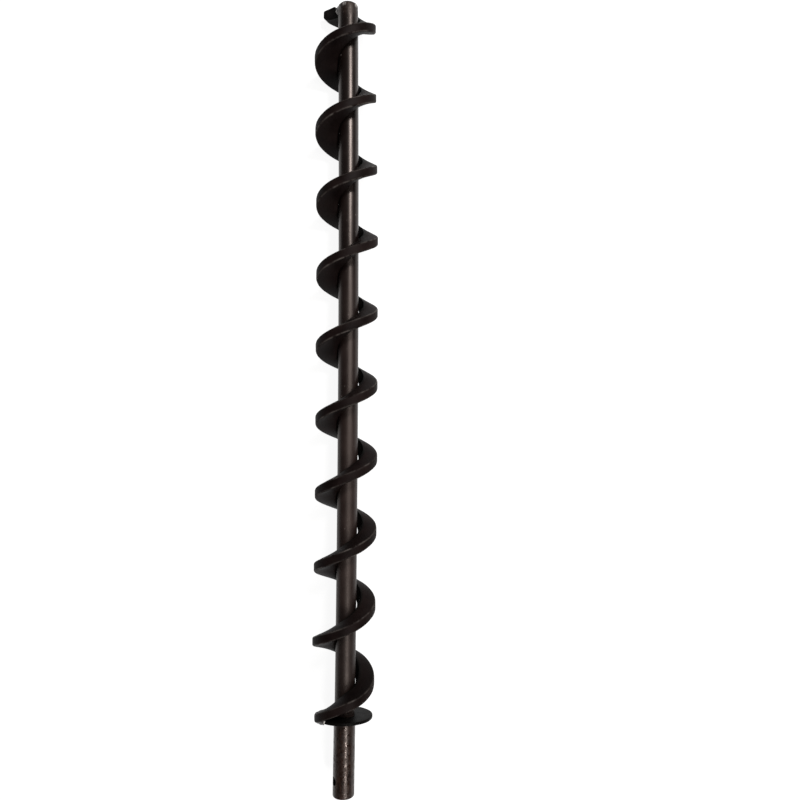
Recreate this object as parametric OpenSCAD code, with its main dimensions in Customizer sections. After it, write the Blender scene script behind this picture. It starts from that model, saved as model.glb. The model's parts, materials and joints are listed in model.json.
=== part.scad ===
// Screw conveyor auger: a bar coil on a round shaft, closed by a disc at the drive end.
// It lies on its flight along Y, with the drive stub towards -Y. Millimetres.

/* [Shaft] */
// Diameter of the shaft
shaft_d = 20; // [14:0.5:26]
// Length of the shaft from end to end
shaft_len = 786.4; // [450:0.2:1000]
// Bevel worn on the shaft's free end
free_end_bevel = 2.2; // [0.5:0.1:3]

/* [Drive stub] */
// Shoulder of the stub: how far it stands out from the shaft
stub_shoulder = 0.6; // [0.2:0.1:2]
// Length of the stub, from its end to the disc
stub_len = 75.2; // [45:0.2:120]
// Length of the groove between the shoulder and the disc, which the disc's weld fills
neck_len = 3.2; // [2:0.1:6]
// Bevel on the end of the stub
stub_bevel = 0.8; // [0.4:0.1:2]
// Diameter of the cross hole for the drive pin
pin_hole_d = 8.5; // [5:0.1:9.5]
// Distance of the cross hole from the end of the stub
pin_hole_setback = 15.4; // [10:0.2:30]
// Turn of the cross hole about the shaft, from level, in degrees
pin_hole_turn = 25.4; // [-90:0.2:90]

/* [Spiral flight] */
// Clear gap between the shaft and the inner edge of the coil
flight_gap = 0.8; // [0.5:0.1:4]
// Width of the wound bar, from its inner edge to its outer edge
bar_w = 20; // [14:0.5:26]
// Thickness of the bar along its outer edge
bar_outer_t = 9; // [6:0.1:12]
// Rise of the face towards the free end, from the outer edge to its inner corner
bar_rise = 3.7; // [0:0.1:6]
// Drop of the face towards the drive end, from the outer edge to the inner edge
bar_drop = 1.5; // [0:0.1:4]
// Thickness of the nose along the inner edge
nose_t = 4; // [2:0.1:6]
// Distance from the nose back to the inner corner, over which winding has slanted the bar's side
inner_slant = 5; // [3:0.1:8]
// Rounding of the bar's outer corners
bar_outer_round = 1.8; // [0.5:0.1:2.4]
// Rounding of the bar's inner corner
bar_inner_round = 0.9; // [0.4:0.1:1.5]
// Advance of the coil in one turn
pitch = 72.3; // [55:0.1:110]

/* [Ends of the flight] */
// Place of the bar's foot on the disc, in degrees about the shaft
foot_turn = -200; // [-360:1:0]
// Length of bar that levels out onto the disc, in degrees
foot_level_arc = 60; // [20:5:120]
// Amount by which the coil is drawn in at its foot
foot_draw = 2; // [0:0.1:3]
// Length of bar over which the foot is drawn in, in degrees
foot_draw_arc = 270; // [90:10:720]
// Length of bar that levels out at the free end, in degrees
tip_level_arc = 110; // [40:5:240]
// Distance of the middle of the bar's tip from the end of the shaft
tip_setback = 5.8; // [5:0.1:20]

/* [End disc] */
// Thickness of the disc
disc_t = 3; // [2:0.1:6]
// Distance of the disc's rim in from the outer face of the bar's foot
disc_inset = 1.3; // [0.8:0.1:4]
// Bevel on the edges of the disc
disc_bevel = 0.7; // [0.2:0.1:0.9]

/* [Welds] */
// Amount by which the weld of the disc stands out from the stub, against the disc
disc_weld_toe = 1.4; // [0.5:0.1:3]
// Part of the way round that the weld of the disc covers, in degrees
disc_weld_arc = 352; // [180:1:355]
// Depth of the weld below the bar's foot, on the disc's rim
foot_weld_drop = 2.2; // [1:0.1:2.4]
// Length of bar, back from its tip, that is welded to the shaft, in degrees
tip_weld_arc = 60; // [24:4:90]
// Amount by which the weld spreads along the shaft on either side of the bar
tip_weld_spread = 3; // [1:0.5:6]

/* [Hidden] */

mill_steel = [0.20, 0.17, 0.16];
dark_steel = [0.13, 0.12, 0.12];
weld_metal = [0.34, 0.33, 0.32];
$fn = 96;
hole_overrun = 2;

shaft_r = shaft_d / 2;
stub_r = shaft_r + stub_shoulder;
flight_r = shaft_r + flight_gap + bar_w;
foot_r = flight_r - foot_draw;
disc_r = foot_r - disc_inset;
disc_top = stub_len + disc_t;

// Sections of the coil in one turn: the lowest part of a turn is a flat that it lies on.
sections_per_turn = 30;
turn_step = 360 / sections_per_turn;
axis_height = flight_r * cos(turn_step / 2);

// The middle of the bar starts just over the disc, so the lower half of its foot is ground off.
foot_lift = 0.3;
foot_z = disc_top + foot_lift;
tip_z = shaft_len - tip_setback;
coil_arc = 360 * (tip_z - foot_z) / pitch + (foot_level_arc + tip_level_arc) / 2;

// Height of the middle of the bar at an angle along it. Its slope grows from nothing at the
// foot to the full pitch, and dies away again before the tip.
function bar_z(along) =
    let (to_go = max(foot_level_arc - along, 0))
    let (gone = max(along - coil_arc + tip_level_arc, 0))
    foot_z + pitch / 360 * (along - foot_level_arc / 2
        + to_go * to_go / (2 * foot_level_arc) - gone * gone / (2 * tip_level_arc));

// Radius of the outer face of the bar at an angle along it.
function ease(t) = t * t * (3 - 2 * t);
function bar_r(along) = flight_r - foot_draw * ease(max(1 - along / foot_draw_arc, 0));

// Section of the bar: depth in from its outer face, and height from its middle. It thickens
// inwards to its inner corner, then slants down to a nose beside the shaft.
function upper(depth) = bar_outer_t / 2 + bar_rise * depth / (bar_w - inner_slant);
function lower(depth) = -bar_outer_t / 2 - bar_drop * depth / bar_w;
corner_share = 0.3;
corner_depth = bar_w - inner_slant;
nose_lean = 0.4;
nose_edge = [
    [corner_depth + bar_inner_round / 2, upper(corner_depth) - bar_inner_round],
    [bar_w, lower(bar_w) + nose_t],
    [bar_w - nose_lean, lower(bar_w - nose_lean)]
];
bar_section = concat(
    [
        [0, upper(0) - bar_outer_round],
        [corner_share * bar_outer_round, upper(0) - corner_share * bar_outer_round],
        [bar_outer_round, upper(bar_outer_round)],
        [corner_depth - bar_inner_round, upper(corner_depth - bar_inner_round)]
    ],
    nose_edge,
    [
        [bar_outer_round, lower(bar_outer_round)],
        [corner_share * bar_outer_round, lower(0) + corner_share * bar_outer_round],
        [0, lower(0) + bar_outer_round]
    ]
);

// Angles along the bar at which it is drawn: its two ends, and every whole step between them.
first_step = turn_step * (floor(foot_turn / turn_step) + 1) - foot_turn;
least_step = turn_step / 10;
stations = concat(
    [0],
    [for (a = [first_step:turn_step:coil_arc - least_step]) if (a > least_step) a],
    [coil_arc]
);

// A point at an angle along the bar, at a radius and a height on the shaft's axis.
function at(along, r, z) = [r * cos(foot_turn + along), r * sin(foot_turn + along), z];

// A point of the bar's section at an angle along it. The nose keeps to its gap from the shaft.
// The underside of the foot is cut level with the disc, and the top of the tip is dressed level
// with the end of the shaft.
function on_bar(along, p) =
    let (r = bar_r(along), share = (r - shaft_r - flight_gap) / bar_w)
    at(along, r - share * p[0], min(max(bar_z(along) + p[1], disc_top), shaft_len));

// Skin over a row of closed outlines that all have the same number of points. The four-sided
// facets are split along one diagonal or, where crossed, along the other.
module skin(outlines, crossed = false) {
    n = len(outlines[0]);
    last = len(outlines) - 1;
    sides = [for (k = [0:last - 1], i = [0:n - 1])
        let (a = k * n + i, b = k * n + (i + 1) % n)
        each crossed ? [[a, b, a + n], [b, b + n, a + n]] : [[a, b, b + n], [a, b + n, a + n]]];
    start_face = [for (i = [n - 1:-1:0]) i];
    end_face = [for (i = [0:n - 1]) last * n + i];
    polyhedron([for (o = outlines) each o], concat(sides, [start_face, end_face]), convexity = 20);
}

// From the shaft's own axes, with its stub end at zero, to the pose in which the part lies.
module lying() {
    translate([0, -shaft_len / 2, axis_height]) rotate([-90, 0, 0]) children();
}

module shaft() {
    color(mill_steel) lying() difference() {
        rotate_extrude() polygon([
            [0, 0],
            [stub_r - stub_bevel, 0],
            [stub_r, stub_bevel],
            [stub_r, stub_len - neck_len],
            [shaft_r, stub_len - neck_len],
            [shaft_r, shaft_len - free_end_bevel],
            [shaft_r - free_end_bevel, shaft_len],
            [0, shaft_len]
        ]);
        translate([0, 0, pin_hole_setback]) rotate([0, 90, pin_hole_turn])
            cylinder(h = 2 * stub_r + hole_overrun, d = pin_hole_d, center = true);
    }
}

module spiral_flight() {
    color(dark_steel) lying()
        skin([for (along = stations) [for (p = bar_section) on_bar(along, p)]]);
}

module end_disc() {
    color(dark_steel) lying() translate([0, 0, stub_len]) rotate_extrude() polygon([
        [shaft_r, 0],
        [disc_r - disc_bevel, 0],
        [disc_r, disc_bevel],
        [disc_r, disc_t - disc_bevel],
        [disc_r - disc_bevel, disc_t],
        [shaft_r, disc_t]
    ]);
}

// Weld that fills the groove below the disc. Its two ends don't quite meet.
module disc_weld() {
    sink = 0.1;
    start_turn = (360 - disc_weld_arc) / 2 - 90;
    color(weld_metal) lying() translate([0, 0, stub_len]) rotate([0, 0, start_turn])
        rotate_extrude(angle = disc_weld_arc) polygon([
            [shaft_r, 0],
            [shaft_r, -neck_len],
            [stub_r - sink, -neck_len],
            [stub_r + disc_weld_toe, 0]
        ]);
}

// Bead in the corner between the disc's rim and the underside of the bar's foot.
module foot_weld() {
    toe = disc_inset * 0.6;
    bead_share = 0.7;
    color(weld_metal) lying() translate([0, 0, disc_top]) rotate([0, 0, foot_turn])
        rotate_extrude(angle = foot_level_arc * bead_share) polygon([
            [disc_r - disc_bevel, 0],
            [disc_r, -disc_bevel],
            [disc_r, -foot_weld_drop],
            [disc_r + toe, -foot_weld_drop / 2],
            [disc_r + toe, 0]
        ]);
}

// Weld that fills the corner between the shaft and the inner side of the last of the bar.
module tip_weld() {
    root_r = shaft_r / cos(turn_step / 2);
    limit_z = shaft_len - free_end_bevel;
    run = [for (a = stations) if (a > coil_arc - tip_weld_arc) a];
    color(weld_metal) lying() skin([for (along = run)
        let (top = bar_z(along) + nose_edge[0][1], foot = bar_z(along) + nose_edge[2][1])
        [
            on_bar(along, nose_edge[0]),
            at(along, root_r, min(top + tip_weld_spread, limit_z)),
            at(along, root_r, foot - tip_weld_spread),
            on_bar(along, nose_edge[2]),
            on_bar(along, nose_edge[1])
        ]
    ], crossed = true);
}

shaft();
spiral_flight();
end_disc();
disc_weld();
foot_weld();
tip_weld();
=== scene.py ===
import bpy, bmesh, json, math
from mathutils import Matrix, Vector, noise

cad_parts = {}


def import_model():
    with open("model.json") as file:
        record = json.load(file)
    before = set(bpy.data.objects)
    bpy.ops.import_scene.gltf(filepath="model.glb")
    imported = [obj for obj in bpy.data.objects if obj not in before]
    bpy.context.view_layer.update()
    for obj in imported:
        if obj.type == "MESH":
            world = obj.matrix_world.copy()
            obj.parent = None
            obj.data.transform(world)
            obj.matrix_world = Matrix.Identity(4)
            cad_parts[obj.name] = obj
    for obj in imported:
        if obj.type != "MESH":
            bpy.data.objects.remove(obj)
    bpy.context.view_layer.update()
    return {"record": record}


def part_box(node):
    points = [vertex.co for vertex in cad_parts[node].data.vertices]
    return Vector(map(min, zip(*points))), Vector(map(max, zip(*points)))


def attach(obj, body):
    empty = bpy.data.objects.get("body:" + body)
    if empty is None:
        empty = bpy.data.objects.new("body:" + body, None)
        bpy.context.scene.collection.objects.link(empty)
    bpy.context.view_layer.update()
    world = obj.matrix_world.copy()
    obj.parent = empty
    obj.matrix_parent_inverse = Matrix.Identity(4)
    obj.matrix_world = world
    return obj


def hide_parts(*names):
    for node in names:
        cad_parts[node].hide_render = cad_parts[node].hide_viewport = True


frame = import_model()
scene = bpy.context.scene
MM = 0.001

# Lengths are in millimetres and angles in degrees. A place on the auger is given on the shaft's
# own axes: a radius, a turn about the shaft, and a height z along it from the stub's end. A place
# along the bar is given by the angle a that the coil has wound through, from the foot.

# ---------------------------------------------------------------- sizes from the frame
shaft_lo, shaft_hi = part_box("shaft")
coil_lo, coil_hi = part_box("spiral_flight")
disc_lo, disc_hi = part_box("end_disc")
pin_hole = [m for m in frame["record"]["mounts"] if m["name"] == "pin_hole"][0]
AXIS = (shaft_lo.z + shaft_hi.z) / 2 / MM
Y0 = shaft_lo.y / MM
SHAFT_LEN = (shaft_hi.y - shaft_lo.y) / MM
STUB_R = (shaft_hi.x - shaft_lo.x) / 2 / MM
STUB_LEN = disc_lo.y / MM - Y0
DISC_R = (disc_hi.x - disc_lo.x) / 2 / MM
DISC_TOP = disc_hi.y / MM - Y0
COIL_R = (coil_hi.x - coil_lo.x) / 2 / MM

# ---------------------------------------------------------------- shaft and stub
STUB_SHOULDER, STUB_BEVEL, NECK_LEN = 0.6, 0.8, 3.2
SHAFT_R = STUB_R - STUB_SHOULDER
SHOULDER_Z = STUB_LEN - NECK_LEN
FREE_END_ROUND = 2.3
# Wear of the free end: how far back it reaches, and how much it takes off the side and the face.
END_WEAR_LEN, END_WEAR_SIDE, END_WEAR_FACE = 6.0, 0.75, 0.6

# ---------------------------------------------------------------- the coil, by the part's own law
# The draw-in at the foot and the section follow the photo, and differ a little from the solid's.
PITCH = 72.3
FOOT_TURN, FOOT_LEVEL, FOOT_DRAW, FOOT_DRAW_ARC = -200.0, 60.0, 2.9, 240.0
TIP_LEVEL, TIP_SETBACK = 110.0, 5.8
FOOT_LIFT, FLIGHT_GAP = 0.3, 0.8
FOOT_Z = DISC_TOP + FOOT_LIFT
COIL_ARC = 360 * (SHAFT_LEN - TIP_SETBACK - FOOT_Z) / PITCH + (FOOT_LEVEL + TIP_LEVEL) / 2

# Section of the bar: heights from its middle, depth in from its rim, radii near the shaft.
RIM_UP, RIM_LOW, RIM_ROUND, RIM_CROWN = 4.75, -4.55, 1.8, 0.1
CORNER_DEPTH, CORNER_UP = 15.2, 8.7
NOSE_R, NOSE_UP, NOSE_LOW = SHAFT_R + FLIGHT_GAP, 0.3, -1.6
ROOT_R, ROOT_LOW = 12.2, -4.3

# ---------------------------------------------------------------- how this one departs from it
# Its foot starts and levels out late, sags, and hangs down beside the disc's rim.
FOOT_START, LOW_LEVEL, LIP = 17.0, 30.0, 8.5
LOW_Z = FOOT_Z - PITCH / 360 * (FOOT_LEVEL - LOW_LEVEL) / 2
FOOT_SAG, FOOT_SAG_ARC = 2.6, 100.0
FOOT_ROUND, FOOT_ROUND_ARC = 1.3, 30.0
LOBE_SAG, LOBE_AT, LOBE_ARC = 2.7, 180.0, 85.0
# Its tip is bent back a little, then on past the end of the shaft, and its lower corner is worn.
TIP_END = COIL_ARC + 3.5
TIP_BACK, TIP_BACK_AT, TIP_BACK_ARC = 1.8, 125.0, 90.0
TIP_ON, TIP_ON_RIM, TIP_ARC, TIP_RISE, TIP_PAST = 1.0, 3.2, 75.0, 1.5, 4.4
TIP_WEAR, TIP_WEAR_ARC = 2.6, 13.0
# What would reach past the disc's face, or past the tip's limit, is flattened to this share.
SQUEEZE = 0.02
# The nose's gap on the side towards +X: its size near the foot, and how much it grows above it.
GAP_LOW, GAP_MORE = 0.25, 0.5
# Surface of the bar: the heights of its fine and broad dents, and the depth of nicks in its edges.
DENT_FINE, DENT_BROAD, NICK = 0.10, 0.22, 1.6
# The coil stands off the shaft's centre, mostly at its two ends.
LEAN, TIP_LEAN, TIP_LEAN_ARC, FOOT_LEAN, FOOT_LEAN_ARC = 0.5, 3.2, 1360.0, 2.0, 1250.0
# The disc is out of square, and the shaft is bowed sideways.
DISC_TILT = math.tan(math.radians(5.0))
BOW_AT, BOW_MID, BOW_ENDS = 430.0, 1.0, 2.65

# ---------------------------------------------------------------- welds
# A bead's toe is how far it stands out. The foot's bead drops less by its far end.
STUB_BEAD_START, STUB_BEAD_ARC, STUB_BEAD_TOE = -86.0, 352.0, 1.7
FOOT_BEAD_ARC, FOOT_BEAD_TOE, FOOT_BEAD_DROP, FOOT_BEAD_LESS = 54.0, 1.3, 7.4, 3.6
TIP_BEAD_ARC, TIP_BEAD_PAST, TIP_BEAD_SPREAD = 60.0, 44.0, 3.0

# ---------------------------------------------------------------- how finely pieces are drawn
SHAFT_SIDES, DISC_SIDES = 112, 144
STUB_ROW, SHAFT_ROW, BAR_STEP = 2.5, 3.0, 3.0


# ---------------------------------------------------------------- helpers
def ease(t):
    return t * t * (3 - 2 * t)


def clamp01(t):
    return min(max(t, 0.0), 1.0)


def ramp(x, start, end):
    """Rises from 0 where x is start to 1 where it is end, and start may be the larger."""
    return ease(clamp01((x - start) / (end - start)))


def bump_at(x, middle, reach):
    """1 where x is middle, falling to 0 at this reach on either side."""
    return ease(clamp01(1 - abs(x - middle) / reach))


def bar_z(a):
    """Height of the middle of the bar."""
    levelling = LOW_LEVEL + FOOT_START
    to_go = max(levelling - a, 0)
    gone = max(a - COIL_ARC + TIP_LEVEL, 0)
    sag = (FOOT_SAG * ramp(a, FOOT_START + FOOT_SAG_ARC, FOOT_START)
           + LOBE_SAG * bump_at(a, LOBE_AT, LOBE_ARC))
    return LOW_Z - sag + PITCH / 360 * (
        a - LOW_LEVEL / 2 + to_go ** 2 / (2 * levelling) - gone ** 2 / (2 * TIP_LEVEL))


def tip_bend(a, share):
    """How far the last of the bar is bent along the shaft, at a share of the way out to its rim."""
    to_go = TIP_END - a
    return ((TIP_ON + TIP_ON_RIM * share) * ramp(to_go, TIP_ARC, 0)
            - TIP_BACK * bump_at(to_go, TIP_BACK_AT, TIP_BACK_ARC))


def bar_r(a):
    """Radius of the bar's rim."""
    lean = (LEAN + TIP_LEAN * ramp(a, COIL_ARC - TIP_LEAN_ARC, COIL_ARC)
            + FOOT_LEAN * ramp(a, FOOT_LEAN_ARC, 0))
    return (COIL_R - FOOT_DRAW * ramp(a, FOOT_DRAW_ARC, 0)
            - lean * math.cos(math.radians(FOOT_TURN + a)))


def bow(z):
    """Sideways bend of the shaft."""
    return BOW_MID - BOW_ENDS * ((z - BOW_AT) / BOW_AT) ** 2


def disc_dz(r, turn):
    """How far the disc's tilt moves a place on it along the shaft."""
    return -DISC_TILT * r * math.sin(math.radians(turn))


def around(r, turn):
    """Across the shaft: the place at a radius and a turn."""
    return r * math.cos(math.radians(turn)), r * math.sin(math.radians(turn))


def world(r, turn, z, bend=1.0):
    """From the shaft's own axes to the pose in which the auger lies. The floor is not passed."""
    x, y = around(r, turn)
    return Vector(((x + bend * bow(z)) * MM, (Y0 + z) * MM, max(AXIS - y, 0.0) * MM))


def n3(x, y, z, scale, seed):
    """Noise about zero, with features of about this size."""
    return noise.noise(Vector((x / scale + seed * 17.3, y / scale - seed * 9.1,
                               z / scale + seed * 4.7)))


def quarter(n):
    """Sine and cosine at each step of a quarter turn in n steps."""
    turns = [math.radians(90 * k / n) for k in range(n + 1)]
    return [(math.sin(t), math.cos(t)) for t in turns]


def make(name, verts, faces):
    mesh = bpy.data.meshes.new(name)
    mesh.from_pydata(verts, [], faces)
    mesh.validate()
    bm = bmesh.new()
    bm.from_mesh(mesh)
    bmesh.ops.recalc_face_normals(bm, faces=bm.faces)
    bm.to_mesh(mesh)
    bm.free()
    mesh.shade_smooth()
    ob = bpy.data.objects.new(name, mesh)
    scene.collection.objects.link(ob)
    return ob


def skin(name, rings, closed=False):
    """Skin over rings of points, closed on itself or with a cap at each end."""
    n, m = len(rings[0]), len(rings)
    faces = []
    for k in range(m if closed else m - 1):
        k2 = (k + 1) % m
        for i in range(n):
            j = (i + 1) % n
            faces.append((k * n + i, k * n + j, k2 * n + j, k2 * n + i))
    if not closed:
        faces.append(tuple(range(n - 1, -1, -1)))
        faces.append(tuple((m - 1) * n + i for i in range(n)))
    return make(name, [v for r in rings for v in r], faces)


def evaluated_mesh(ob):
    """A new mesh of the object, with its modifiers applied."""
    bpy.context.view_layer.update()
    dg = bpy.context.evaluated_depsgraph_get()
    return bpy.data.meshes.new_from_object(ob.evaluated_get(dg))


def point_attribute(ob, name, values):
    a = ob.data.attributes.new(name, "FLOAT", "POINT")
    a.data.foreach_set("value", values)


def dress(ob, mat, node, sharp=None):
    """Material, body and replaced node of a piece. Edges over the sharp angle stay sharp."""
    ob.data.materials.clear()
    ob.data.materials.append(mat)
    if sharp:
        ob.data.set_sharp_from_angle(angle=math.radians(sharp))
    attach(ob, "root")
    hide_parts(node)


# ---------------------------------------------------------------- materials
class Tree:
    """A material that ends in one shader, with short names for the nodes that feed it."""

    def __init__(self, name):
        self.mat = bpy.data.materials.new(name)
        self.mat.use_nodes = True
        self.nt = self.mat.node_tree
        self.nt.nodes.clear()
        out = self.nt.nodes.new("ShaderNodeOutputMaterial")
        self.bsdf = self.nt.nodes.new("ShaderNodeBsdfPrincipled")
        self.link(self.bsdf.outputs[0], out.inputs[0])
        self.coord = self.nt.nodes.new("ShaderNodeTexCoord").outputs["Object"]

    def link(self, a, b):
        self.nt.links.new(a, b)

    def node(self, kind, inputs, **settings):
        """A node, with its settings and with a value or a link for each input named."""
        n = self.nt.nodes.new(kind)
        for name, value in settings.items():
            setattr(n, name, value)
        for name, value in inputs.items():
            if isinstance(value, bpy.types.NodeSocket):
                self.link(value, n.inputs[name])
            else:
                n.inputs[name].default_value = value
        return n

    def stretched(self, x, y, z):
        return self.node("ShaderNodeMapping", {"Scale": (x, y, z), "Vector": self.coord}).outputs[0]

    def noise(self, scale, detail, rough, vector=None):
        return self.node("ShaderNodeTexNoise", {
            "Scale": scale, "Detail": detail, "Roughness": rough,
            "Vector": vector or self.coord}).outputs["Fac"]

    def remap(self, value, lo, hi, to_lo=0.0, to_hi=1.0):
        return self.node("ShaderNodeMapRange", {
            "From Min": lo, "From Max": hi, "To Min": to_lo, "To Max": to_hi,
            "Value": value}).outputs[0]

    def calc(self, operation, a, b):
        return self.node("ShaderNodeMath", {0: a, 1: b}, operation=operation).outputs[0]

    def times(self, a, b):
        return self.calc("MULTIPLY", a, b)

    def mix(self, share, a, b):
        """A colour between two, each given as a triple or as a link."""
        a, b = [(*c, 1) if isinstance(c, tuple) else c for c in (a, b)]
        return self.node("ShaderNodeMix", {0: share, 6: a, 7: b}, data_type="RGBA").outputs[2]

    def attribute(self, name):
        return self.node("ShaderNodeAttribute", {}, attribute_name=name).outputs["Fac"]

    def bump(self, height, strength, distance):
        return self.node("ShaderNodeBump", {
            "Strength": strength, "Distance": distance, "Height": height}).outputs[0]

    def finish(self, color, rough, normal):
        self.link(color, self.bsdf.inputs["Base Color"])
        self.link(rough, self.bsdf.inputs["Roughness"])
        self.link(normal, self.bsdf.inputs["Normal"])
        return self.mat


def shaft_material():
    """Brown mill scale, lighter towards the drive end but painted darker as shade just above the
    foot, duller where matte is high, with rust, nicks and bare edges.
    """
    t = Tree("shaft_mill_scale")
    along = t.stretched(1, 0.25, 1)
    blotch = t.noise(38, 5, 0.6)
    fine = t.noise(420, 4, 0.6, along)
    pits = t.noise(900, 3, 0.6)
    rust, matte, tone_and_foot_shade, bare = [t.attribute(n) for n in ("rust", "matte", "tone_and_foot_shade", "bare")]
    # Both scale colours are lighter towards the drive end; their dip just above the foot is painted
    # shade.
    deep = t.mix(tone_and_foot_shade, (0.0024, 0.0012, 0.0011), (0.0070, 0.0034, 0.0030))
    thin = t.mix(tone_and_foot_shade, (0.0065, 0.0040, 0.0036), (0.0145, 0.0088, 0.0078))
    scale_col = t.mix(t.remap(blotch, 0.35, 0.7), deep, thin)
    rust_col = t.mix(t.remap(fine, 0.35, 0.65), (0.0030, 0.0012, 0.0008), (0.018, 0.0074, 0.0044))
    rusted = t.times(rust, t.remap(t.noise(85, 5, 0.65), 0.35, 0.6))
    col = t.mix(rusted, scale_col, rust_col)
    nicks = t.remap(t.noise(300, 2, 0.5), 0.72, 0.80, 0.0, 0.5)
    col = t.mix(nicks, col, (0.16, 0.14, 0.13))
    col = t.mix(t.times(bare, t.remap(fine, 0.3, 0.6)), col, (0.36, 0.34, 0.33))
    rough = t.calc("ADD", t.remap(blotch, 0.3, 0.7, 0.25, 0.31), t.times(matte, 0.18))
    uneven = t.remap(t.noise(260, 4, 0.7), 0.35, 0.65, -0.16, 0.26)
    rough = t.calc("ADD", rough, t.times(rust, uneven))
    height = t.calc("ADD", t.times(fine, 0.6), t.times(pits, t.remap(rust, 0, 1, 0.25, 1.2)))
    t.bsdf.inputs["Specular IOR Level"].default_value = 0.4
    t.bsdf.inputs["Specular Tint"].default_value = (1.0, 0.86, 0.80, 1)
    return t.finish(col, rough, t.bump(height, 0.3, 0.0002))


def flight_material():
    """Dark oxide, lighter on worn edges, which also carry a painted highlight, and painted darker:
    as shade next to the shaft, near the foot and on the disc, and also by the bar's tip.
    """
    t = Tree("flight_dark_oxide")
    blotch = t.noise(45, 5, 0.6)
    fine = t.noise(520, 5, 0.65)
    wear_and_highlight, inner = t.attribute("wear_and_highlight"), t.attribute("inner")
    col = t.mix(t.remap(blotch, 0.35, 0.68), (0.0036, 0.0020, 0.0019), (0.0090, 0.0054, 0.0050))
    # Lighter edges: worn metal, with a painted highlight on the lit rims and on the corner by the
    # shaft.
    worn = t.times(wear_and_highlight, t.remap(t.noise(120, 4, 0.6), 0.38, 0.62))
    col = t.mix(worn, col, (0.06, 0.052, 0.048))
    # Painted shade: dark on the faces next to the shaft, on the upper faces near the foot and over
    # the whole disc. The bar is also darkened by its tip.
    col = t.mix(inner, col, (0.002, 0.0016, 0.0015))
    rough = t.calc("SUBTRACT", t.remap(blotch, 0.3, 0.7, 0.46, 0.58), t.times(worn, 0.14))
    height = t.calc("ADD", fine, t.times(t.noise(160, 4, 0.5), 0.8))
    t.bsdf.inputs["Specular IOR Level"].default_value = 0.035
    return t.finish(col, rough, t.bump(height, 0.3, 0.00025))


def weld_material():
    """Grey weld metal, dull but where it is bare."""
    t = Tree("weld_metal")
    fine = t.noise(650, 5, 0.7)
    bare = t.attribute("bare")
    col = t.mix(t.remap(fine, 0.35, 0.65), (0.010, 0.009, 0.0085), (0.036, 0.033, 0.031))
    col = t.mix(t.times(bare, t.remap(fine, 0.2, 0.5)), col, (0.5, 0.48, 0.46))
    t.bsdf.inputs["Metallic"].default_value = 0.4
    return t.finish(col, t.remap(fine, 0.3, 0.7, 0.3, 0.5), t.bump(fine, 0.5, 0.0003))


shaft_mat, flight_mat, weld_mat = shaft_material(), flight_material(), weld_material()


# ---------------------------------------------------------------- shaft
def shaft_profile():
    """Half section of the shaft, as (radius, height) from the stub's end to the free end."""
    b = STUB_BEVEL
    p = [(r, 0.0) for r in (0.0, 4.0, 8.2)]
    p += [(STUB_R - b + b * s, b - b * c) for s, c in quarter(4)]
    z = 3.0
    while z < SHOULDER_Z - 0.5:
        p.append((STUB_R, z))
        z += STUB_ROW
    p += [(STUB_R, SHOULDER_Z - 0.05), (SHAFT_R, SHOULDER_Z)]
    start, end = STUB_LEN + 2.0, SHAFT_LEN - 2.6
    rows = int((end - start) / SHAFT_ROW)
    p += [(SHAFT_R, start + (end - start) * k / rows) for k in range(rows + 1)]
    b = FREE_END_ROUND
    p += [(SHAFT_R - b * (1 - c), SHAFT_LEN - b + b * s) for s, c in quarter(6)[1:]]
    return p + [(r, SHAFT_LEN) for r in (6.8, 3.5, 0.0)]


def shaft_tones(z):
    """How rusty and how matte the shaft is at a height, and how light its scale colour is: lighter
    towards the drive end, and painted darker as shade just above the foot. Each ramp runs from one
    height to another."""
    lower = ramp(z, 680, 260)
    rust = (clamp01(1.0 - (z - 60) / 60) * 0.9 + 0.15 * ramp(z, 520, 220)
            + 0.7 * ramp(z, SHAFT_LEN - 20, SHAFT_LEN - 10))
    matte = max(0.25, lower * (1.0 - 0.7 * ramp(z, 90, 78)), 0.8 * ramp(z, 766, 776))
    # Its dip between heights 250 and 120 is painted shade.
    return rust, matte, lower * (0.25 + 0.75 * ramp(z, 120, 250))


def bore_pin_hole(ob):
    """Cross hole for the drive pin, moved sideways with the bowed shaft."""
    place = Vector(pin_hole["pos_m"])
    place.x += bow(place.y / MM - Y0) * MM
    bpy.ops.mesh.primitive_cylinder_add(
        vertices=64, radius=pin_hole["dims"]["r_mm"] * MM, depth=0.03, location=place)
    cutter = bpy.context.object
    axis = Vector(pin_hole["axis"]).normalized()
    cutter.rotation_euler = axis.to_track_quat("Z", "Y").to_euler()
    mod = ob.modifiers.new("pin_hole", "BOOLEAN")
    mod.operation = "DIFFERENCE"
    mod.solver = "EXACT"
    mod.object = cutter
    mesh = evaluated_mesh(ob)
    ob.modifiers.clear()
    old = ob.data
    ob.data = mesh
    bpy.data.meshes.remove(old)
    bpy.data.objects.remove(cutter)
    mesh.name = ob.name


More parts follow.
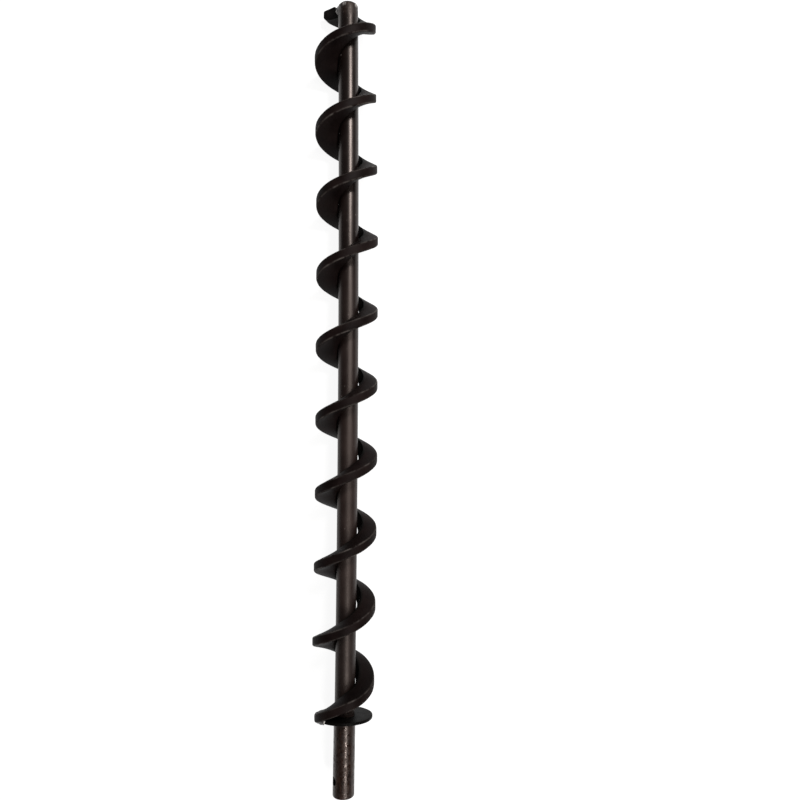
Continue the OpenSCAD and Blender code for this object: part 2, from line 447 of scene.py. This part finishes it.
def build_shaft():
    n = SHAFT_SIDES
    verts, faces, rows = [], [], []
    tones = {"rust": [], "matte": [], "tone_and_foot_shade": [], "bare": []}

    def add(place, values):
        verts.append(place)
        for kept, value in zip(tones.values(), values):
            kept.append(value)
        return len(verts) - 1

    for r, z in shaft_profile():
        if r == 0.0:
            rows.append([add(world(0, 0, z), (0.5, 0.6, 0.3, 0.0))])
            continue
        worn = ramp(z, SHAFT_LEN - END_WEAR_LEN, SHAFT_LEN - 1) if r > 5 else 0.0
        row = []
        for i in range(n):
            turn = 360 * i / n
            x, y = around(r, turn)
            dr = 0.04 * n3(x, y, z, 9, 5) - END_WEAR_SIDE * worn * abs(n3(x, y, z, 2.2, 3))
            dz = -END_WEAR_FACE * worn * abs(n3(x, y, 0, 3.1, 8))
            bare = worn * clamp01((n3(x, y, z, 2.6, 11) - 0.08) * 5)
            row.append(add(world(r + dr, turn, z + dz), (*shaft_tones(z), bare)))
        rows.append(row)
    for a, b in zip(rows, rows[1:]):
        for i in range(n):
            j = (i + 1) % n
            if len(a) == 1:
                faces.append((a[0], b[j], b[i]))
            elif len(b) == 1:
                faces.append((a[i], a[j], b[0]))
            else:
                faces.append((a[i], a[j], b[j], b[i]))
    ob = make("drive_shaft", verts, faces)
    for name, values in tones.items():
        point_attribute(ob, name, values)
    bore_pin_hole(ob)
    dress(ob, shaft_mat, "shaft", 40)


build_shaft()


# ---------------------------------------------------------------- spiral flight
def bar_outline(rim, turn, gap, ro):
    """Section of the bar, for a rim at this radius: (radius, height from the middle, how worn the
    edge is, which also lays a painted highlight on it).
    The nose has its full gap on the side towards +X, and almost touches the shaft on the other."""
    nose = SHAFT_R + 0.05 + gap * (0.5 + 0.5 * math.cos(math.radians(turn)))
    corner = max(rim - CORNER_DEPTH, NOSE_R + 1.0)
    flat = rim - ro

    def upper(r):
        return RIM_UP + (CORNER_UP - RIM_UP) * (rim - r) / (rim - corner)

    out = [(rim, 0.0, 0.0), (rim, 1.4, 0.0)]
    for (s, c), w in zip(quarter(5), (0.0, 0.2, 0.9, 0.9, 0.2, 0.0)):
        out.append((flat + ro * c, RIM_UP - ro + ro * s + RIM_CROWN * s, w))
    for k in range(1, 6):
        r = flat + (corner + 1.0 - flat) * k / 5
        out.append((r, upper(r), 0.3 if k == 5 else 0.0))
    side, top = corner - 0.2, upper(corner) - 1.0
    out += [(corner + 0.35, upper(corner) - 0.05, 0.9), (corner, upper(corner) - 0.35, 0.9),
            (side, top, 0.3)]
    for k in (1, 2, 3):
        out.append((side + (nose - side) * k / 4, top + (NOSE_UP - top) * k / 4, 0.0))
    out += [(nose, NOSE_UP, 0.0), (nose, NOSE_LOW, 0.0), (ROOT_R - 0.5, ROOT_LOW + 0.5, 0.0),
            (ROOT_R + 0.3, ROOT_LOW, 0.0)]
    for k in range(1, 7):
        out.append((ROOT_R + (flat - ROOT_R) * k / 7, ROOT_LOW + (RIM_LOW - ROOT_LOW) * k / 7, 0.0))
    for (s, c), w in zip(quarter(5), (0.0, 0.3, 1.0, 1.0, 0.3, 0.0)):
        out.append((flat + ro * s, RIM_LOW + ro - ro * c - RIM_CROWN * c, w))
    return out + [(rim, -1.4, 0.0)]


def bar_point(a, rim, z0, r, h, w):
    """A point of the bar with this one's bends, dents and worn edges: its place, how worn it is,
    with a painted highlight on the edges, and how dark it is painted, as shade next to the shaft
    and near the foot, and darker by its tip."""
    turn, to_go = FOOT_TURN + a, TIP_END - a
    x, y = around(r, turn)
    z = z0 + h
    depth = rim - r
    bumpy = DENT_FINE * n3(x, y, z, 7, 1) + DENT_BROAD * n3(x, y, z, 24, 2)
    nick = max(n3(x, y, z, 4.2, 4) - 0.32, 0) * NICK * w if w > 0.3 else 0.0
    rr = r + (bumpy - nick if depth < 8 else bumpy * clamp01((r - NOSE_R - 0.1) / 6))

    share = clamp01((r - NOSE_R) / (rim - NOSE_R))
    hh = h * (1 + 0.03 * n3(x, y, z, 30, 6)) - (nick * 0.8 if h > 0 else -nick * 0.8)
    hh += tip_bend(a, share)
    if h < 0:
        hh += TIP_WEAR * ramp(to_go, TIP_WEAR_ARC, 0) * clamp01((share - 0.6) / 0.4) ** 1.6
    else:
        hh += TIP_RISE * share * ramp(to_go, TIP_ARC, 0)
    stop = DISC_TOP + disc_dz(r, turn) - (LIP if r > DISC_R + 0.1 else 0.0)
    zz = max(z0 + hh, stop) + SQUEEZE * min(z0 + hh - stop, 0)
    top = SHAFT_LEN + TIP_PAST
    zz = min(zz, top) + SQUEEZE * max(zz - top, 0)
    with_shaft = 1 - ramp(r, NOSE_R + 1, rim - 5)

    # Edge lightness: real wear, and a painted highlight on the rims and on the corner by the shaft.
    wear_and_highlight = min(1.0, w * (0.55 + 0.9 * max(0.0, n3(x, y, z, 15, 7) + 0.15)))
    # Painted shade: full on the face next to the shaft, 0.4 on the upper faces near the foot. The
    # last 30 degrees before the tip are darkened to 0.85 too.
    if depth > CORNER_DEPTH * 0.9 and h > -3:
        dark = 1.0
    else:
        dark = 0.4 * ramp(z0, 200, 110) if h > RIM_UP - 0.3 else 0.0
        dark = max(dark, 0.85 * ramp(to_go, 30, 0))
    return world(rr, turn, zz, with_shaft), wear_and_highlight, dark


def build_flight():
    length = TIP_END - FOOT_START
    count = int(length / BAR_STEP)
    rings, wear_and_highlight, inner = [], [], []
    for k in range(count + 1):
        a = FOOT_START + length * k / count
        rim, z0 = bar_r(a), bar_z(a)
        gap = GAP_LOW + GAP_MORE * ramp(z0, 120, 200)
        ro = RIM_ROUND + FOOT_ROUND * ramp(a, FOOT_START + FOOT_ROUND_ARC, FOOT_START)
        points = [bar_point(a, rim, z0, *p) for p in bar_outline(rim, FOOT_TURN + a, gap, ro)]
        rings.append([p[0] for p in points])
        wear_and_highlight += [p[1] for p in points]
        inner += [p[2] for p in points]
    ob = skin("spiral_bar", rings)
    point_attribute(ob, "wear_and_highlight", wear_and_highlight)
    point_attribute(ob, "inner", inner)
    dress(ob, flight_mat, "spiral_flight", 50)


build_flight()


# ---------------------------------------------------------------- end disc
def build_disc():
    t, b, n = DISC_TOP - STUB_LEN, 0.9, DISC_SIDES
    face = (SHAFT_R + 0.02, 12, 15, 18, 21, 24)
    prof = [(r, 0.0) for r in face]
    prof += [(DISC_R - b + b * s, b - b * c) for s, c in quarter(5)]
    prof += [(DISC_R - b + b * c, t - b + b * s) for s, c in quarter(5)]
    prof += [(r, t) for r in reversed(face)]
    rings = []
    for i in range(n):
        turn = 360 * i / n
        ring = []
        for r, z in prof:
            x, y = around(r, turn)
            uneven = ramp(r, 12, 26)
            rr = r + uneven * (0.25 * n3(x, y, z, 14, 21) + 0.08 * n3(x, y, z, 4, 22))
            zz = min(z + 0.12 * n3(x, y, z, 8, 23), t)
            ring.append(world(rr, turn, STUB_LEN + zz + disc_dz(r, turn)))
        rings.append(ring)
    ob = skin("closing_disc", rings, closed=True)
    # A lighter band on the rim: edge wear and a painted highlight.
    point_attribute(ob, "wear_and_highlight", [0.8 if r > DISC_R - 0.6 else 0.0 for r, z in prof] * n)
    # Painted shade: the whole disc is darkened.
    point_attribute(ob, "inner", [1.0] * len(prof) * n)
    dress(ob, flight_mat, "end_disc", 50)


build_disc()


# ---------------------------------------------------------------- welds
def bead(name, start, arc, steps, section, bare_at, node):
    """A bead round part of a turn, with its section and its bareness at each share of the way."""
    rings, bare = [], []
    for k in range(steps + 1):
        turn, u = start + arc * k / steps, k / steps
        ring = [world(r, turn, z) for r, z in section(turn, u)]
        bare += [bare_at(turn, u)] * len(ring)
        rings.append(ring)
    ob = skin(name, rings)
    point_attribute(ob, "bare", bare)
    dress(ob, weld_mat, node)


def stub_weld_section(turn, u):
    full = ramp(min(u, 1 - u), 0, 0.02)
    x, y = around(10, turn)
    lump = 1 + 0.25 * n3(x, y, 0, 3.0, 31) + 0.12 * math.sin(math.radians(turn * 16))
    toe = STUB_BEAD_TOE * lump * (0.3 + 0.7 * full)
    top = STUB_LEN + disc_dz(STUB_R, turn) + 0.3
    rise = top - SHOULDER_Z
    return [(SHAFT_R - 0.1, top), (SHAFT_R - 0.1, SHOULDER_Z), (STUB_R - 0.1, SHOULDER_Z),
            (STUB_R + 0.35 * toe, SHOULDER_Z + 0.35 * rise),
            (STUB_R + 0.75 * toe, SHOULDER_Z + 0.7 * rise), (STUB_R + toe, top)]


def stub_weld_bare(turn, u):
    return max(0.0, n3(turn, 0, 0, 13, 33) - 0.15) * 1.5


def foot_bead_section(turn, u):
    """The bead hangs lowest under the bar's end, and ends in the corner where the bar rises."""
    full = ramp(min(u, 1 - u), 0, 0.1)
    wob = 1 + 0.12 * n3(turn, 0, 0, 6, 35)
    toe = FOOT_BEAD_TOE * wob * (0.4 + 0.6 * full)
    drop = (FOOT_BEAD_DROP - FOOT_BEAD_LESS * u) * wob * (0.5 + 0.5 * ramp(u, 1, 0.95))
    top = DISC_TOP + disc_dz(DISC_R, turn)
    return [(DISC_R - 0.9, top), (DISC_R - 0.15, top - 0.8), (DISC_R - 0.05, top - drop),
            (DISC_R + toe * 0.7, top - drop * 0.62), (DISC_R + toe, top - drop * 0.2),
            (DISC_R + toe, top)]


def foot_bead_bare(turn, u):
    return ramp(u, 0.93, 0.97)


bead("stub_weld", STUB_BEAD_START, STUB_BEAD_ARC, 176, stub_weld_section, stub_weld_bare,
     "disc_weld")
bead("foot_bead", FOOT_TURN + FOOT_START, FOOT_BEAD_ARC, 40, foot_bead_section, foot_bead_bare,
     "foot_weld")


def build_tip_bead():
    """Weld in the corner between the shaft and the last of the bar, running on past its tip."""
    arc, over, steps = TIP_BEAD_ARC, TIP_BEAD_PAST, 44
    root = SHAFT_R - 0.1
    rings, bare = [], []
    for k in range(steps + 1):
        a = COIL_ARC - arc + (arc + over) * k / steps
        turn, on_bar = FOOT_TURN + a, min(a, COIL_ARC)
        past = clamp01((a - COIL_ARC) / over)
        z0, rim = bar_z(on_bar) + tip_bend(on_bar, 0.3), bar_r(on_bar)
        start, thin = ramp(k, 0, 5), 1 - ease(past)
        fade = (0.3 + 0.7 * start) * (1 - 0.5 * ramp(past, 0, 0.3125))
        corner = SHAFT_R + FLIGHT_GAP * thin
        corner += (rim - CORNER_DEPTH + 0.3 - NOSE_R) * fade * thin
        heel = (ROOT_R - root) * thin
        up = z0 + (CORNER_UP - 1.2) * (0.55 + 0.45 * start)
        low = z0 + ROOT_LOW + 6.0 * ease(past)
        spread = TIP_BEAD_SPREAD * start * thin
        crest = up + 3.0 * past
        points = [
            (corner, min(crest, SHAFT_LEN + 0.6 - 1.6 * past)),
            ((corner + root) / 2, min(crest + 0.6 * spread, SHAFT_LEN + 0.4 - 0.8 * past)),
            (root, min(up + spread, SHAFT_LEN - 0.5)),
            (root, z0 + 1),
            (root, low - spread),
            (root + heel * 0.5, low - 0.6 * spread),
            (root + (ROOT_R + 0.3 - root) * thin, low + 0.2),
            ((corner + root + heel) / 2, (z0 + low) / 2 + 2.0)]
        ring = []
        for i, (r, z) in enumerate(points):
            uneven = 0.0 if r < SHAFT_R else 0.5 * n3(turn, i * 3.0, 0, 6, 41)
            ring.append(world(r, turn, min(z + uneven, SHAFT_LEN + 0.8)))
        rings.append(ring)
        bare += [0.5 * ramp(past, 0, 0.125) * ramp(past, 0.35, 0.35 - 1 / 6)] * len(ring)
    ob = skin("tip_bead", rings)
    point_attribute(ob, "bare", bare)
    rounding = ob.modifiers.new("round", "SUBSURF")
    rounding.levels = rounding.render_levels = 2
    mesh = evaluated_mesh(ob)
    ob.modifiers.clear()
    ob.data = mesh
    dress(ob, weld_mat, "tip_weld")


build_tip_bead()


# ---------------------------------------------------------------- floor
def build_floor():
    """Pale floor that is white to the camera and in reflections, and keeps the shadow."""
    half, z = 6.0, -0.0003
    corners = [(-half, -half, z), (half, -half, z), (half, half, z), (-half, half, z)]
    mesh = bpy.data.meshes.new("floor")
    mesh.from_pydata(corners, [], [(0, 1, 2, 3)])
    ob = bpy.data.objects.new("floor", mesh)
    scene.collection.objects.link(ob)
    mat = bpy.data.materials.new("pale_floor")
    mat.use_nodes = True
    new, link = mat.node_tree.nodes.new, mat.node_tree.links.new
    mat.node_tree.nodes.clear()

    def diffuse(level):
        shader = new("ShaderNodeBsdfDiffuse")
        shader.inputs["Color"].default_value = (level, level, level, 1)
        return shader.outputs[0]

    glow = new("ShaderNodeEmission")
    glow.inputs["Strength"].default_value = 0.92
    white = new("ShaderNodeAddShader")
    link(diffuse(0.16), white.inputs[0])
    link(glow.outputs[0], white.inputs[1])
    path = new("ShaderNodeLightPath")
    seen = path.outputs["Is Camera Ray"]
    for ray in ("Is Glossy Ray", "Is Transmission Ray"):
        either = new("ShaderNodeMath")
        either.operation = "MAXIMUM"
        link(seen, either.inputs[0])
        link(path.outputs[ray], either.inputs[1])
        seen = either.outputs[0]
    mix = new("ShaderNodeMixShader")
    link(seen, mix.inputs[0])
    link(diffuse(0.8), mix.inputs[1])
    link(white.outputs[0], mix.inputs[2])
    link(mix.outputs[0], new("ShaderNodeOutputMaterial").inputs[0])
    mesh.materials.append(mat)


build_floor()


# ---------------------------------------------------------------- light, world, camera (metres)
def area_light(name, where, aim, size_x, size_y, power, color):
    data = bpy.data.lights.new(name, "AREA")
    data.shape = "RECTANGLE"
    data.size, data.size_y = size_x, size_y
    data.energy = power
    data.color = color
    ob = bpy.data.objects.new(name, data)
    ob.location = where
    ob.rotation_euler = (Vector(aim) - Vector(where)).to_track_quat("-Z", "Y").to_euler()
    scene.collection.objects.link(ob)


# Name, place, the point it aims at, width, length, watts and colour.
area_light("key", (0.56, 0.74, 1.12), (0, 0.30, 0.03), 0.17, 0.46, 21.0, (1.0, 0.98, 0.96))
area_light("strip", (0.56, 0.08, 1.12), (0, 0.05, 0.03), 0.30, 0.90, 5.0, (1.0, 0.97, 0.94))
area_light("low_strip", (0.42, -0.58, 1.13), (0, -0.22, 0.03), 0.30, 0.40, 2.6, (1.0, 0.96, 0.92))
area_light("stub_strip", (0.46, -0.95, 1.13), (0, -0.36, 0.03), 0.10, 0.40, 8.0, (1.0, 0.97, 0.94))

studio = bpy.data.worlds.new("studio")
studio.use_nodes = True
background = studio.node_tree.nodes["Background"]
background.inputs["Color"].default_value = (1, 1, 1, 1)
background.inputs["Strength"].default_value = 0.10
scene.world = studio

# The camera looks almost straight down. It stands over a place near the middle of the shaft, and
# its tilt and roll are in radians.
CAMERA_X, CAMERA_ALONG, CAMERA_ABOVE = 52.74, 376.01, 729.57
CAMERA_TILT, CAMERA_ROLL = 0.0271, 0.003
cam_data = bpy.data.cameras.new("camera")
cam_data.sensor_width = 36.0
cam_data.lens = 32.97465
cam_data.shift_y = -0.010225
cam_data.clip_start = 0.01
cam_data.dof.use_dof = False
cam = bpy.data.objects.new("camera", cam_data)
scene.collection.objects.link(cam)
cam.matrix_world = (
    Matrix.Translation((CAMERA_X * MM, (Y0 + CAMERA_ALONG) * MM, (AXIS + CAMERA_ABOVE) * MM))
    @ Matrix.Rotation(CAMERA_TILT, 4, "X") @ Matrix.Rotation(CAMERA_ROLL, 4, "Z"))
scene.camera = cam
scene.view_settings.view_transform = "Standard"
